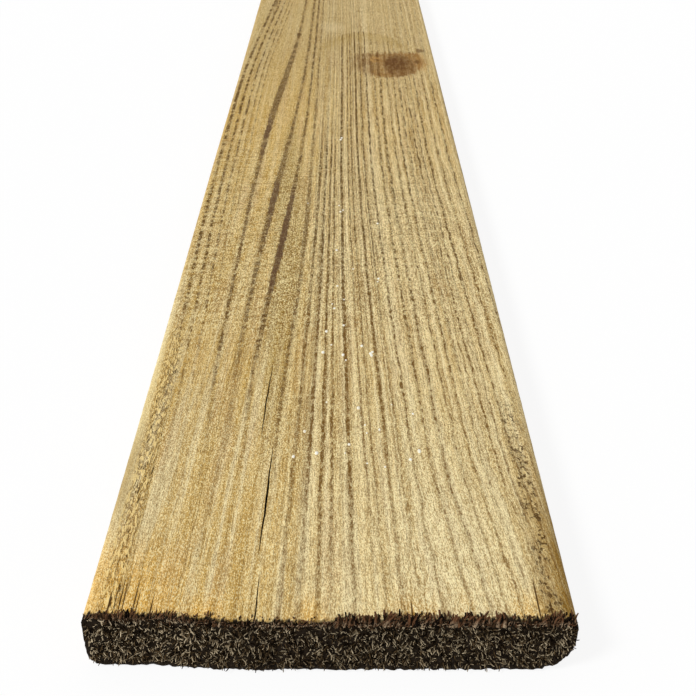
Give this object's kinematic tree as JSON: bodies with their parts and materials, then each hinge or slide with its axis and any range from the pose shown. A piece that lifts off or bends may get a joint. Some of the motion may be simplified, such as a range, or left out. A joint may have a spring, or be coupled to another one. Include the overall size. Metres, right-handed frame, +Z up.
{
  "type": "timber plank",
  "caption": "Long flat board of treated softwood with rounded long edges, plain sawn ends and a seasoning split in its upper face, used as building stock.",
  "frame": {"origin": "middle of the underside, where the board rests", "axes": "+X across the width, +Y along the length away from the split end, +Z up out of the upper face"},
  "size_m": [0.15, 1.8, 0.022],
  "materials": {
    "treated_softwood": "rough sawn, weathered"
  },
  "bodies": {
    "root": {"plank": "treated_softwood"}
  },
  "joints": []
}
